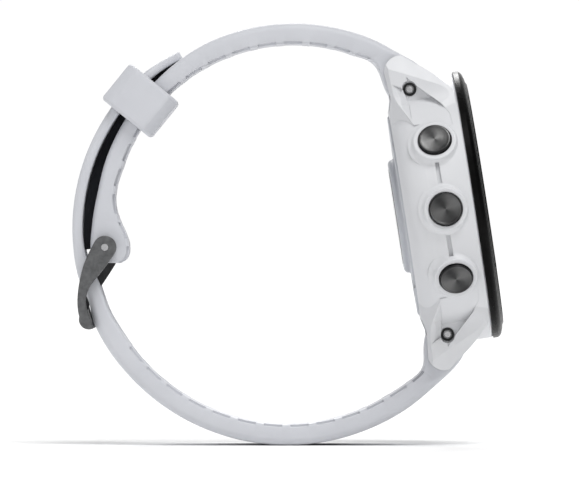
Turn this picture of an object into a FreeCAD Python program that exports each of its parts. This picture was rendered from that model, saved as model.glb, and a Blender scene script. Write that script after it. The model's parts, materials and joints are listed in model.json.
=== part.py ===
import FreeCAD, Part
import math
import os

from FreeCAD import Vector

# A large GPS running watch with its band buckled, millimetres.
# Row frame: +Z up, the band's loop runs round the Y axis, the dial looks towards +X and a little up.
# The origin is the centre of the wrist opening.
# Case frame: n along the dial normal from the rear plane, y as in the row, u up the dial.

# ---- driving dimensions -------------------------------------------------------------------------
CASE_TILT = 8.8            # the dial looks up by this many degrees
CASE_STANDOFF = 26.0       # wrist centre to the rear plane
CASE_R = 23.1
BEZEL_R = 23.25
CASE_TOP = 12.2            # bezel seat
BEZEL_TOP = 14.4
BAND_WIDTH = 22.0
BAND_HALF = BAND_WIDTH / 2
SLOT_HALF = BAND_HALF + 0.25
SLOT_FLOOR = 18.2          # flat between the lugs, from the case axis
SLOT_ROOF = 8.2
BAR_N = 4.4                # spring bar axis
BAR_U = 21.3
BAR_R = 0.9
PIN_R = 0.55
COVER_R = 17.5
COVER_THICK = 1.25
UPPER_CAVITY_R = 21.3
LOWER_CAVITY_R = 20.6
CAVITY_FLAT = 16.9
BOARD_BOTTOM = 9.4
BUTTON_N = 7.2             # button axis above the rear plane
BUTTON_R = 2.8
BUTTON_FACE = 24.5         # cap face, from the case axis
BUTTON_POCKET = 22.2       # pocket floor, from the case axis
CAP_BOTTOM = 22.9
STEM_R = 1.0
BUTTONS = {"light": (-1, 30), "up": (-1, 0), "down": (-1, -30), "start": (1, 30), "lap": (1, -30)}

UPPER_CENTRE = (6.9, 2.4)  # centre of the upper strap's arc, row x and z
UPPER_INNER_R = 31.2
LOWER_CENTRE = (5.75, 1.5)
LOWER_MID_R = 35.25
TAIL_CENTRE = (4.72, 1.72)
TAIL_INNER_R = 34.19
TIP_ANGLE = 120             # where the tail ends on its arc
STRAP_THICK = 3.5
BUCKLE_PIN = (-25.6, -1.45)
BUCKLE_PIN_R = 0.6
ARM_INNER = 11.3           # buckle arms, inner and outer faces
ARM_OUTER = 13.1
TONGUE_WIDTH = 2.0
HOLE_LENGTH = 5.6
HOLE_WIDTH = 3.0
HOLE_PITCH = 7.5
KEEPER_ANGLE = 141.0       # keeper's place on the upper strap's arc
KEEPER_LENGTH = 7.9


# ---- helpers ------------------------------------------------------------------------------------
def polar(centre, radius, degrees):
    angle = math.radians(degrees)
    return (centre[0] + radius * math.cos(angle), centre[1] + radius * math.sin(angle))


def smooth(value, low, high):
    t = min(1.0, max(0.0, (value - low) / (high - low)))
    return t * t * (3 - 2 * t)


def face(steps, place):
    """Closed outline: a pair is a line, four numbers an arc (middle, end), a list a spline."""
    edges = []
    start = place(*steps[0])
    last = start
    for step in steps[1:] + [steps[0]]:
        if isinstance(step, list):
            points = [last] + [place(*point) for point in step]
            curve = Part.BSplineCurve()
            curve.interpolate(points)
            end = points[-1]
            edges.append(curve.toShape())
        elif len(step) == 4:
            end = place(step[2], step[3])
            edges.append(Part.Arc(last, place(step[0], step[1]), end).toShape())
        else:
            end = place(*step)
            if end.distanceToPoint(last) > 1e-6:
                edges.append(Part.LineSegment(last, end).toShape())
        last = end
    return Part.Face(Part.Wire(edges))


def turned(steps):
    """Solid of revolution about the case axis from (n, radius) points."""
    return face(steps, lambda n, r: Vector(n, 0, r)).revolve(Vector(0, 0, 0), Vector(1, 0, 0), 360)


def post(steps):
    """Solid of revolution about Z from (radius, z) points."""
    return face(steps, lambda r, z: Vector(r, 0, z)).revolve(Vector(0, 0, 0), Vector(0, 0, 1), 360)


def plate(steps, low, high):
    """Outline in the plane square to Y, from y = low to y = high."""
    return face(steps, lambda a, b: Vector(a, low, b)).extrude(Vector(0, high - low, 0))


def plan(steps, low, high):
    """Outline of (u, y) points, from n = low to n = high."""
    return face(steps, lambda u, y: Vector(low, y, u)).extrude(Vector(high - low, 0, 0))


def block(x0, x1, y0, y1, z0, z1):
    return Part.makeBox(x1 - x0, y1 - y0, z1 - z0, Vector(x0, y0, z0))


def rod(radius, start, end):
    return Part.makeCylinder(radius, (end - start).Length, start, end - start)


def disc(radius, low, high, y=0.0, u=0.0):
    return rod(radius, Vector(low, y, u), Vector(high, y, u))


def ring(outer, inner, low, high):
    return disc(outer, low, high).cut(disc(inner, low - 1, high + 1))


def joined(shapes):
    result = shapes[0]
    for shape in shapes[1:]:
        result = result.fuse(shape)
    return result.removeSplitter()


def mirrored(shape, axis):
    return shape.mirror(Vector(0, 0, 0), axis)


def both(shape, axis):
    return [shape, mirrored(shape, axis)]


def four(shape):
    return [copy for half in both(shape, Vector(0, 1, 0)) for copy in both(half, Vector(0, 0, 1))]


def in_row(shape):
    """Moves a shape from the case frame to the row frame."""
    moved = shape.copy()
    moved.translate(Vector(CASE_STANDOFF, 0, 0))
    moved.rotate(Vector(0, 0, 0), Vector(0, 1, 0), -CASE_TILT)
    return moved


def case_point(n, u):
    """Row x and z of a point given in the case frame."""
    tilt = math.radians(CASE_TILT)
    along = n + CASE_STANDOFF
    return (along * math.cos(tilt) - u * math.sin(tilt), along * math.sin(tilt) + u * math.cos(tilt))


def at_button(shape, name):
    """Moves a shape built along +Z to a button's place, its own +Z pointing out of the case."""
    side, rise = BUTTONS[name]
    moved = shape.copy()
    moved.rotate(Vector(0, 0, 0), Vector(1, 0, 0), -side * (90 - rise))
    moved.translate(Vector(BUTTON_N, 0, 0))
    return moved


def coil(radius, wire, height, turns, facets):
    """Helical spring along +Z: six-sided wire, this many straight facets to a turn."""
    sides = 6
    count = turns * facets

    def corner(step, side):
        turn = 2 * math.pi * step / facets
        roll = 2 * math.pi * side / sides
        reach = radius + wire * math.cos(roll)
        return Vector(reach * math.cos(turn), reach * math.sin(turn),
                      height * step / count + wire * math.sin(roll))

    faces = []
    for step in range(count):
        for side in range(sides):
            a = corner(step, side)
            b = corner(step + 1, side)
            c = corner(step + 1, side + 1)
            d = corner(step, side + 1)
            faces += [Part.Face(Part.makePolygon([a, b, c, a])), Part.Face(Part.makePolygon([a, c, d, a]))]
    for step in (0, count):
        rim = [corner(step, side) for side in range(sides)]
        faces.append(Part.Face(Part.makePolygon(rim + rim[:1])))
    shell = Part.Shell(faces)
    shell.sewShape()
    return Part.Solid(shell)


def save(shape, name):
    shape.exportStep(os.path.join("parts", name + ".step"))


# ---- case ---------------------------------------------------------------------------------------
def lug_cheek():
    """One lug wall, upper side, +Y: a profile trimmed by its plan and by front and rear bevels."""
    profile = plate([(11.9, 19.6), [(9.2, 22.95), (8.0, 24.0), (6.0, 25.6), (3.9, 27.3)],
                     (1.2, 26.4, 0.5, 24.7), (0.85, 21.5), (0.95, 20.2), (0.36, 17.9), (0.3, 15.0),
                     (11.9, 15.0)], SLOT_HALF, 19.0)
    outside = plan([(14.5, 17.98), (18.8, 14.5), (20.2, 13.75, 22.0, 13.45), (28.5, 13.25),
                    (28.5, SLOT_HALF), (14.5, SLOT_HALF)], -1.0, 13.0)
    ridge_low = Vector(3.7, 13.35, 24.2)
    ridge_high = Vector(9.5, 14.85, 18.5)
    rim = Vector(6.6, 12.3, 25.1)
    slope = (rim - ridge_low).cross(ridge_high - ridge_low)
    if slope.y < 0:
        slope = slope.negative()
    rear_high = Vector(1.35, 13.5, 22.6)
    rear_foot = Vector(4.6, 18.1, 14.5)
    rear_inside = Vector(0.3, 11.6, 15.0)
    bevel = (rear_foot - rear_high).cross(rear_inside - rear_high)
    cheek = profile.common(outside).cut(Part.makeCylinder(40, 30, ridge_low, slope))
    return cheek.cut(Part.makeCylinder(40, 30, rear_high, bevel))


def solid_between(low, high):
    """Solid between two rings of points, each side split in two triangles."""
    faces = []
    count = len(low)
    for i in range(count):
        k = (i + 1) % count
        faces.append(Part.Face(Part.makePolygon([low[i], low[k], high[k], low[i]])))
        faces.append(Part.Face(Part.makePolygon([low[i], high[k], high[i], low[i]])))
    for row in (low, high):
        for i in range(1, count - 1):
            faces.append(Part.Face(Part.makePolygon([row[0], row[i], row[i + 1], row[0]])))
    shell = Part.Shell(faces)
    shell.sewShape()
    return Part.Solid(shell)


def lug_slope(corners):
    """Slope from a lug's ridge down to its hollow: four (n, y, u) corners, open outwards."""
    low = [Vector(*corner) for corner in corners]
    high = [Vector(point.x, 19.0, point.z) for point in low]
    return solid_between(low, high)


def lug_recess():
    """Hollow in a lug's side with a slope front and rear; its floor follows the round case wall."""
    outline = plate([(10.7, 14.2), (10.5, 16.3), (9.2, 18.2), (5.55, 21.75), (4.4, 22.75, 3.15, 21.6),
                     (3.55, 20.2), (3.8, 17.6), (3.7, 14.2)], 11.9, 19.5)
    floor = plan([(10.0, 11.0), (10.0, 20.78), (16.5, 16.11, 19.4, 12.47), (25.0, 12.3), (25.0, 11.0)],
                 0.0, 12.0)
    hollow = outline.cut(floor)
    rear_slope = lug_slope([(1.35, 13.5, 22.6), (2.45, 14.5, 18.8), (3.9, 13.3, 18.8), (3.5, 12.6, 21.4)])
    rear_fade = lug_slope([(2.45, 14.5, 18.8), (3.4, 16.95, 15.8), (3.9, 16.8, 15.8), (3.9, 13.3, 18.8)])
    front_slope = lug_slope([(4.1, 13.45, 23.6), (4.3, 12.75, 22.4), (9.0, 14.0, 18.2), (9.7, 14.95, 17.6)])
    return hollow.fuse(rear_slope).fuse(rear_fade).fuse(front_slope)


def case_body():
    shell = turned([(0.3, 0), (0.3, 18.95), (1.6, 21.2, 4.8, 22.95), (6.2, CASE_R), (11.95, CASE_R),
                    (CASE_TOP, 22.85), (CASE_TOP, 0)])
    body = joined([shell] + four(lug_cheek()))
    for hollow in four(lug_recess()):
        body = body.cut(hollow)
    collar = post([(0, 20.9), (4.75, 20.9), (4.75, 22.5), (4.1, 22.9, 3.75, 23.55),
                   (3.68, 23.83, 3.45, 23.9), (0, 23.9)])
    body = joined([body] + [at_button(collar, name) for name in BUTTONS])
    lower_cavity = disc(LOWER_CAVITY_R, 2.4, BOARD_BOTTOM - 0.2).common(
        block(0, 12, -30, 30, -CAVITY_FLAT, CAVITY_FLAT))
    boss = disc(1.5, 2.4, 5.2, 11.6, 11.6)
    cuts = [disc(UPPER_CAVITY_R, BOARD_BOTTOM - 0.2, CASE_TOP + 1)]
    cuts.append(lower_cavity.cut(joined(four(boss))))
    cuts.append(disc(15.2, 0, 3))
    cuts.append(disc(COVER_R + 0.1, -1, COVER_THICK + 0.05))
    slot = block(-2, SLOT_ROOF, -SLOT_HALF, SLOT_HALF, SLOT_FLOOR, 30)
    cuts += both(slot, Vector(0, 0, 1))
    bar_hole = rod(PIN_R + 0.07, Vector(BAR_N, 10, BAR_U), Vector(BAR_N, 15, BAR_U))
    counterbore = rod(1.15, Vector(BAR_N, 11.95, BAR_U), Vector(BAR_N, 15, BAR_U))
    cuts += four(bar_hole.fuse(counterbore))
    cuts += four(disc(PIN_R, 1, 4.6, 11.6, 11.6))
    pocket = post([(0, 19), (STEM_R + 0.06, 19), (STEM_R + 0.06, BUTTON_POCKET), (2.95, BUTTON_POCKET),
                   (2.95, 26), (0, 26)])
    cuts += [at_button(pocket, name) for name in BUTTONS]
    groove = block(6.65, 7.3, -24, -19, 4.5, 8.1).cut(disc(CASE_R - 0.5, 5, 10))
    cuts += both(groove, Vector(0, 0, 1))
    for cut in cuts:
        body = body.cut(cut)
    return body


def bezel():
    """Turned ring with a stepped chamfer, a shelf for the lens and twelve hour marks."""
    body = turned([(CASE_TOP, 22.9), (CASE_TOP + 0.12, BEZEL_R), (13.15, BEZEL_R), (13.6, 22.9, 13.95, 22.1),
                   (14.05, 21.95), (14.2, 21.2), (BEZEL_TOP, 20.9), (BEZEL_TOP, 20.35), (14.25, 20.2),
                   (13.0, 20.2), (13.0, 19.2), (11.4, 19.9), (11.2, 20.4), (11.2, 21.2),
                   (CASE_TOP, 21.2)])
    body = body.cut(ring(22.4, 21.8, 12.0, 12.5))
    mark = block(14.12, 15, -0.25, 0.25, 20.95, 21.9)
    for hour in range(12):
        cut = mark.copy()
        cut.rotate(Vector(0, 0, 0), Vector(1, 0, 0), hour * 30)
        body = body.cut(cut)
    return body


def rear_cover():
    """Screwed cover with a raised sensor ring, a charging socket and a sealing lip."""
    body = turned([(0, 10.2), (0, COVER_R - 0.3), (0.3, COVER_R), (COVER_THICK, COVER_R),
                   (COVER_THICK, 15.1), (2.3, 15.1), (2.3, 14.2), (COVER_THICK, 14.2), (COVER_THICK, 8.0),
                   (-0.4, 8.0), (-0.4, 8.7), (-1.05, 8.7), (-1.15, 8.85), (-1.15, 9.15),
                   (-0.95, 9.6, -0.3, 9.9)])
    body = body.cut(ring(15.7, 15.3, COVER_THICK - 0.2, COVER_THICK + 1).cut(disc(15.1, 0, 3)))
    socket = block(-1, 0.75, -3.6, 3.6, -14.0, -11.2)
    body = body.cut(socket)
    for y in contact_places():
        body = body.cut(disc(0.35, 0, 3, y, -12.6))
    seat = disc(1.0, -1, 0.55, 11.6, 11.6).fuse(disc(0.6, 0, 3, 11.6, 11.6))
    for cut in four(seat):
        body = body.cut(cut)
    return body


def contact_places():
    return [(i - 1.5) * 1.6 for i in range(4)]


def cover_screw():
    head = disc(0.92, 0.08, 0.55, 11.6, 11.6).fuse(disc(0.52, 0.5, 4.3, 11.6, 11.6))
    hexagon = [(11.6 + 0.45 * math.cos(math.radians(a)), 11.6 + 0.45 * math.sin(math.radians(a)))
               for a in range(0, 360, 60)]
    return head.cut(plan(hexagon, -1, 0.35))


def board_chips():
    """Shield can, processor, memory, radio and power parts under the main board."""
    places = [(-1, 10, 2.5, 11.5, 8.3), (-9, -3, 4, 10, 8.6), (-8.5, -2.5, -9, -3, 8.5),
              (1, 5.5, -8, -3.5, 8.7), (7.5, 11, -6, -2, 8.7), (-3, 4, -15, -11, 8.6)]
    return Part.makeCompound([block(n, BOARD_BOTTOM, y0, y1, u0, u1) for y0, y1, u0, u1, n in places])


def case_parts():
    parts = {"case_body": case_body(), "bezel": bezel(), "rear_cover": rear_cover()}
    parts["lens"] = turned([(13.0, 0), (13.0, 20.1), (14.05, 20.1), (14.2, 19.95), (14.2, 0)])
    parts["lens_gasket"] = ring(22.35, 21.85, CASE_TOP, 12.5)
    parts["display_module"] = disc(18.9, 11.75, 12.9)
    screen_well = disc(19.0, 11.6, 12)
    posts = [disc(0.9, 10.2, 11.0, y, u) for y in (-12, 12) for u in (-12, 12)]
    parts["chassis_plate"] = joined([disc(19.7, 10.9, 11.75)] + posts).cut(screen_well)
    parts["main_board"] = disc(20.2, BOARD_BOTTOM, 10.2)
    parts["board_chips"] = board_chips()
    antenna = ring(21.15, 20.35, BOARD_BOTTOM, 10.9)
    parts["antenna_ring"] = antenna.cut(block(9, 12, -3, 3, -23, -18))
    cell = block(2.7, 7.6, -10, 9.6, -12.6, 12.6)
    upright = [edge for edge in cell.Edges if edge.BoundBox.XLength > 1.0]
    parts["battery_cell"] = cell.makeFillet(1.0, upright)
    parts["vibration_motor"] = joined([rod(2.2, Vector(5.2, 13.2, -5), Vector(5.2, 13.2, 3)),
                                       rod(0.5, Vector(5.2, 13.2, 3), Vector(5.2, 13.2, 4)),
                                       rod(1.7, Vector(5.2, 13.2, 4), Vector(5.2, 13.2, 6.5))])
    parts["beeper"] = disc(3.5, 2.4, 3.6, -14.3, 0)
    parts["rear_cover_gasket"] = ring(15.66, 15.34, COVER_THICK - 0.2, COVER_THICK + 0.05)
    parts["rear_cover_screws"] = Part.makeCompound(four(cover_screw()))
    parts["sensor_window"] = turned([(-0.4, 0), (-0.4, 8.65), (-1.05, 8.65), (-1.25, 8.3), (-1.25, 0)])
    parts["sensor_board"] = disc(7.9, 0.5, 1.2)
    emitters = [disc(0.8, -0.3, 0.5, 5.2 * math.cos(a), 5.2 * math.sin(a))
                for a in [math.radians(60 * i + 30) for i in range(6)]]
    emitters.append(block(-0.3, 0.5, -1.4, 1.4, -1.4, 1.4))
    parts["sensor_optics"] = Part.makeCompound(emitters)
    contacts = [disc(0.33, 0.3, 1.9, y, -12.6) for y in contact_places()]
    parts["charge_contacts"] = Part.makeCompound(contacts)
    return parts


# ---- buttons ------------------------------------------------------------------------------------
def button_parts(name):
    """Cap with stem, stem seal, spring, clip and switch, each built along +Z and then placed."""
    cap = post([(0, 19.75), (STEM_R, 19.75), (STEM_R, 20.1), (0.72, 20.1), (0.72, 20.42), (STEM_R, 20.42),
                (STEM_R, 20.92), (0.53, 20.92), (0.53, 21.48), (STEM_R, 21.48), (STEM_R, CAP_BOTTOM),
                (1.25, CAP_BOTTOM), (1.25, 23.75), (2.3, 23.75), (2.3, CAP_BOTTOM), (BUTTON_R, CAP_BOTTOM),
                (BUTTON_R, 24.2), (2.72, 24.42, 2.5, BUTTON_FACE), (2.35, BUTTON_FACE), (2.2, 24.42),
                (1.2, 24.36), (0, 24.36)])
    seal = Part.makeTorus(0.785, 0.245, Vector(0, 0, 21.2))
    clip = post([(0.74, 20.11), (1.75, 20.11), (1.75, 20.39), (0.74, 20.39)])
    clip = clip.cut(block(0.2, 3, -0.55, 0.55, 20, 20.5))
    spring = coil(1.78, 0.12, 1.3, 3, 14)
    spring.translate(Vector(0, 0, BUTTON_POCKET + 0.125))
    body = block(-1.6, BOARD_BOTTOM - BUTTON_N, -1.6, 1.6, 17.4, 18.9)
    switch = body.fuse(rod(0.6, Vector(0, 0, 18.8), Vector(0, 0, 19.1)))
    shapes = {"cap": cap, "seal": seal, "clip": clip, "spring": spring, "switch": switch}
    return {name + "_button_" + key: at_button(shape, name) for key, shape in shapes.items()}


# ---- spring bars --------------------------------------------------------------------------------
def bar_parts(name, up):
    """Quick-release spring bar between a pair of lugs: up is 1 for the upper lugs, -1 for the lower."""
    def along(radius, start, end):
        return rod(radius, Vector(BAR_N, start, BAR_U), Vector(BAR_N, end, BAR_U))

    window = block(0, BAR_N, -9.65, -6.85, BAR_U - 0.55, BAR_U + 0.55)
    tube = along(BAR_R, -10.5, 10.5).cut(along(0.65, -12, 9.0)).cut(window)
    tube = tube.fuse(along(PIN_R, 10.4, 12.2)).removeSplitter()
    plunger = along(0.6, -10.45, -6.4).fuse(along(PIN_R, -12.2, -10.4)).removeSplitter()
    knob_hole = rod(0.4, Vector(0, -9.05, BAR_U), Vector(BAR_N, -9.05, BAR_U))
    knob = knob_hole.common(block(1.2, 4.6, -12, -6, 19, 24))
    knob = knob.fuse(rod(0.85, Vector(0.8, -9.05, BAR_U), Vector(1.3, -9.05, BAR_U))).removeSplitter()
    spring = coil(0.42, 0.1, 14.6, 12, 8)
    spring.rotate(Vector(0, 0, 0), Vector(1, 0, 0), -90)
    spring.translate(Vector(BAR_N, -6.2, BAR_U))
    shapes = {"tube": tube, "plunger": plunger.cut(knob_hole), "release_knob": knob, "spring": spring}
    if up < 0:
        shapes = {key: mirrored(shape, Vector(0, 0, 1)) for key, shape in shapes.items()}
    return {name + "_bar_" + key: shape for key, shape in shapes.items()}


def bar_relief(up):
    """Space that a strap end leaves for its spring bar and release knob."""
    relief = rod(BAR_R + 0.05, Vector(BAR_N, -12, BAR_U), Vector(BAR_N, 12, BAR_U))
    relief = relief.fuse(block(-2, BAR_N, -9.65, -6.85, BAR_U - 0.6, BAR_U + 0.6))
    relief = relief.fuse(block(-2, 1.6, -10.1, -6.4, BAR_U - 1.0, BAR_U + 1.0))
    if up < 0:
        relief = mirrored(relief, Vector(0, 0, 1))
    return in_row(relief)


# ---- straps -------------------------------------------------------------------------------------
def upper_outer_r(degrees):
    return UPPER_INNER_R + STRAP_THICK - 0.45 * smooth(degrees, 112, 142)


def strap_root(up):
    """Lug end of a strap, from the wrist side round the spring bar to the outside."""
    steps = [(0.0, 24.5), (0.5, 22.0), (1.1, 20.3)]
    corner = [(1.85, 20.3), (BAR_N, BAR_U - 2.75, 7.06, 22.0)]
    wrist = [case_point(n, up * u) for n, u in steps]
    middle = case_point(corner[1][0], up * corner[1][1])
    end = case_point(corner[1][2], up * corner[1][3])
    return wrist, case_point(corner[0][0], up * corner[0][1]), middle + end


def strap_hole(centre, normal):
    """Rounded slot through a strap: its length runs along the strap, its axis along the normal."""
    half = HOLE_LENGTH / 2 - HOLE_WIDTH / 2
    slot = block(-half, half, -HOLE_WIDTH / 2, HOLE_WIDTH / 2, -4, 4)
    for x in (-half, half):
        slot = slot.fuse(rod(HOLE_WIDTH / 2, Vector(x, 0, -4), Vector(x, 0, 4)))
    slot.rotate(Vector(0, 0, 0), Vector(0, 1, 0), math.degrees(math.atan2(normal[0], normal[1])))
    slot.translate(Vector(centre[0], 0, centre[1]))
    return slot


def upper_strap():
    wrist, turn, root = strap_root(1)
    outer = [polar(UPPER_CENTRE, upper_outer_r(a), a) for a in range(58, 170, 7)]
    outer += [(-27.55, 4.65), (-27.9, 1.9), (-28.1, -1.2)]
    inner = [(-21.6, -0.9), (-22.1, 0.9), (-23.1, 3.2)]
    inner += [polar(UPPER_CENTRE, UPPER_INNER_R, a) for a in range(174, 62, -8)]
    first = polar(UPPER_CENTRE, upper_outer_r(51), 51)
    body = plate([first, outer, (-27.5, -3.4, -25.6, -4.2), (-23.3, -4.2), (-22.1, -3.6, -21.5, -2.2),
                  inner + wrist, turn, root], -BAND_HALF, BAND_HALF)
    body = body.cut(bar_relief(1))
    pin_hole = rod(BUCKLE_PIN_R + 0.05, buckle_vector(-12), buckle_vector(12))
    tongue_slot = block(-30, -20, -1.3, 1.3, -6, 0.4)
    return body.cut(pin_hole).cut(tongue_slot)


def lower_stations():
    """Centreline points and thicknesses of the lower strap, from its lug to the tail's tip."""
    stations = []
    for i in range(12):
        stations.append(polar(LOWER_CENTRE, LOWER_MID_R, -34.3 - 10.5 * i) + (STRAP_THICK,))
    stations += [(-26.4, -12.8, 3.05), (-27.05, -10.6, 2.7), (-27.6, -9.1, 2.8), (-28.3, -7.6, 2.9),
                 (-29.0, -6.1, 2.6), (-29.6, -4.3, 2.2), (-30.02, -2.3, 1.9)]
    for angle in (181, 172, 163, 154, 146, 139, 132, 127, 123, TIP_ANGLE):
        thick = 1.35 + 0.4 * smooth(angle, TIP_ANGLE, 140)
        inner = TAIL_INNER_R - 0.15 + 0.15 * smooth(angle, TIP_ANGLE, 132)
        stations.append(polar(TAIL_CENTRE, inner + thick / 2, angle) + (thick,))
    return stations


def offset_lines(stations):
    """Points each side of a centreline, half a thickness away along its normal."""
    curve = Part.BSplineCurve()
    curve.interpolate([Vector(x, 0, z) for x, z, thick in stations])
    left = []
    right = []
    for x, z, thick in stations:
        tangent = curve.tangent(curve.parameter(Vector(x, 0, z)))[0]
        half = thick / 2 / tangent.Length
        left.append((x + tangent.z * half, z - tangent.x * half))
        right.append((x - tangent.z * half, z + tangent.x * half))
    return left, right


def lower_strap():
    wrist, turn, root = strap_root(-1)
    stations = lower_stations()
    left, right = offset_lines(stations)
    outer, inner = (left, right) if left[4][1] < right[4][1] else (right, left)
    tip = (stations[-1][0] + 0.5, stations[-1][1] + 0.35)
    back = list(reversed(inner[2:]))
    body = plate([outer[0], outer[1:], tip + back[0], back[1:] + [case_point(-0.95, -27.0)] + wrist,
                  turn, root], -BAND_HALF, BAND_HALF)
    body = body.cut(bar_relief(-1))
    for centre, normal in hole_places():
        body = body.cut(strap_hole(centre, normal))
    return body.cut(tip_trim())


def hole_places():
    """The hole in use, then the others up the tail and down towards the lug."""
    places = [((-27.95, -8.4), (-0.92, -0.39))]
    step = math.degrees(HOLE_PITCH / TAIL_INNER_R)
    for i in range(4):
        angle = 178 - step * i
        centre = polar(TAIL_CENTRE, TAIL_INNER_R + 1, angle)
        places.append((centre, (math.cos(math.radians(angle)), math.sin(math.radians(angle)))))
    step = math.degrees(HOLE_PITCH / LOWER_MID_R)
    for i in range(3):
        angle = 208 + step * i
        centre = polar(LOWER_CENTRE, LOWER_MID_R, angle)
        places.append((centre, (math.cos(math.radians(angle)), math.sin(math.radians(angle)))))
    return places


def tip_trim():
    """Rounds the tail's tip in plan: a slab past the round's centre less a round of the band's width."""
    trim = block(0.02, 16, -15, 15, -8, 4).cut(rod(BAND_HALF, Vector(0, 0, -9), Vector(0, 0, 5)))
    angle = TIP_ANGLE + math.degrees((BAND_HALF - 0.6) / TAIL_INNER_R)
    trim.rotate(Vector(0, 0, 0), Vector(0, 1, 0), 90 - angle)
    place = polar(TAIL_CENTRE, TAIL_INNER_R, angle)
    trim.translate(Vector(place[0], 0, place[1]))
    return trim


def keeper():
    """Loop round both straps, built with its radial direction along X."""
    outer = block(28.7, 39.4, -12.9, 12.9, -KEEPER_LENGTH / 2, KEEPER_LENGTH / 2)
    long_edges = [edge for edge in outer.Edges if abs(edge.tangentAt(edge.FirstParameter).z) > 0.9]
    outer = outer.makeFillet(1.7, long_edges)
    end_edges = [edge for edge in outer.Edges if abs(edge.tangentAt(edge.FirstParameter).z) < 0.1]
    outer = outer.makeFillet(0.7, end_edges)
    window = block(30.65, 38.15, -BAND_HALF - 0.3, BAND_HALF + 0.3, -5, 5)
    body = outer.cut(window)
    body.rotate(Vector(0, 0, 0), Vector(0, 1, 0), -KEEPER_ANGLE)
    body.translate(Vector(UPPER_CENTRE[0], 0, UPPER_CENTRE[1]))
    return body


# ---- buckle -------------------------------------------------------------------------------------
def buckle_vector(y):
    return Vector(BUCKLE_PIN[0], y, BUCKLE_PIN[1])


def tongue_outline():
    """Tongue in side view: a bar that leaves the pin, bends and runs to the crossbar."""
    stations = [(-25.0, -2.2, 1.5), (-24.45, -3.5, 1.5), (-25.3, -5.1, 1.5), (-26.6, -7.1, 1.5),
                (-28.3, -9.7, 1.4), (-29.25, -11.9, 1.15), (-29.55, -14.1, 0.9)]
    left, right = offset_lines(stations)
    return [left[0], left[1:], right[-1], list(reversed(right[:-1]))]


def buckle_tongue():
    half = TONGUE_WIDTH / 2
    eye = rod(1.45, buckle_vector(-half), buckle_vector(half))
    body = eye.fuse(plate(tongue_outline(), -half, half))
    return body.cut(rod(BUCKLE_PIN_R + 0.05, buckle_vector(-2), buckle_vector(2))).removeSplitter()


def buckle_frame():
    x, z = BUCKLE_PIN
    arm = plate([(-27.35, -0.5), [(-28.1, -1.9), (-29.15, -4.3), (-29.8, -6.6), (-30.22, -9.2),
                                  (-30.3, -11.1), (-29.98, -13.4)],
                 (-29.25, -15.3, -27.5, -15.35), (-27.85, -14.4),
                 [(-28.55, -12.4), (-28.85, -10.7), (-28.3, -8.5), (-27.0, -6.7), (-25.0, -4.1),
                  (-23.75, -2.2)], (x, z + 2.0, -27.35, -0.5)], ARM_INNER, ARM_OUTER)
    bar = plate([(-30.22, -11.9), [(-30.17, -12.6), (-29.98, -13.4)], (-29.4, -14.9, -28.1, -15.35),
                 (-28.35, -14.0), (-28.95, -12.1)], -ARM_INNER, ARM_INNER)
    notch = plate([(-28.4, -11.5), (-28.6, -12.3), (-28.98, -14.1), (-29.0, -16.0), (-32.0, -16.0),
                   (-32.0, -11.5)], -TONGUE_WIDTH / 2 - 0.2, TONGUE_WIDTH / 2 + 0.2)
    bar = bar.cut(notch)
    body = joined([bar] + both(arm, Vector(0, 1, 0)))
    return body.cut(rod(BUCKLE_PIN_R, buckle_vector(-20), buckle_vector(20)))


def buckle_parts():
    parts = {"buckle_frame": buckle_frame(), "buckle_tongue": buckle_tongue()}
    parts["buckle_pin"] = rod(BUCKLE_PIN_R, buckle_vector(-ARM_OUTER - 0.1), buckle_vector(ARM_OUTER + 0.1))
    return parts


# ---- all parts ----------------------------------------------------------------------------------
def main():
    os.makedirs("parts", exist_ok=True)
    case_frame = case_parts()
    for name in BUTTONS:
        case_frame.update(button_parts(name))
    case_frame.update(bar_parts("upper", 1))
    case_frame.update(bar_parts("lower", -1))
    for name, shape in case_frame.items():
        save(in_row(shape), name)
    row_frame = {"upper_strap": upper_strap(), "lower_strap": lower_strap(), "keeper": keeper()}
    row_frame.update(buckle_parts())
    for name, shape in row_frame.items():
        save(shape, name)


main()
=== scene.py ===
import bisect
import json
import math

import bmesh
import bpy
import numpy as np
from mathutils import Matrix, Vector


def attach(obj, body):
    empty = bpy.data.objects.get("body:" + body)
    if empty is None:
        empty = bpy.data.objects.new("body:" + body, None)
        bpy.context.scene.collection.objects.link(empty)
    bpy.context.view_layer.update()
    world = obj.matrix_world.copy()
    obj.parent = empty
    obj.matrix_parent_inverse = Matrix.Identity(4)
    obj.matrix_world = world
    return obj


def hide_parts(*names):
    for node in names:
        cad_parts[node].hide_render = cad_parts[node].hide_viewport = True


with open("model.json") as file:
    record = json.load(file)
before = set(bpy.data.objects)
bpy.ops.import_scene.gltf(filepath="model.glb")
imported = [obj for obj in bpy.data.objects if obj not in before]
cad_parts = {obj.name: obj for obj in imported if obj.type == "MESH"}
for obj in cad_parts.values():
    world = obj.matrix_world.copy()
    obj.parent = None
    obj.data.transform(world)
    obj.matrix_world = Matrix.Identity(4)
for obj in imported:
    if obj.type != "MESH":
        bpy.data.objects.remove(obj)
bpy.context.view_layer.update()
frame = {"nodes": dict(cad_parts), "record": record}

# A large running watch standing on its buckled band. The builders below work in millimetres.
MM = 0.001
CASE_TILT = math.radians(8.8)      # the dial looks up by this angle
CASE_STANDOFF = 26.0               # wrist centre to the rear plane
CASE_FRAME = Matrix.Rotation(-CASE_TILT, 4, "Y") @ Matrix.Translation((CASE_STANDOFF, 0, 0))
TO_METRES = Matrix.Scale(MM, 4)

# ---- camera -------------------------------------------------------------------------------------
CAMERA_DISTANCE = 1.8              # metres, as are the next two
AIM = Vector((0.00623, 0, -0.00019))
VIEW_WIDTH = 0.10035               # width of the picture at the aim point
SENSOR_WIDTH = 36


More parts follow.
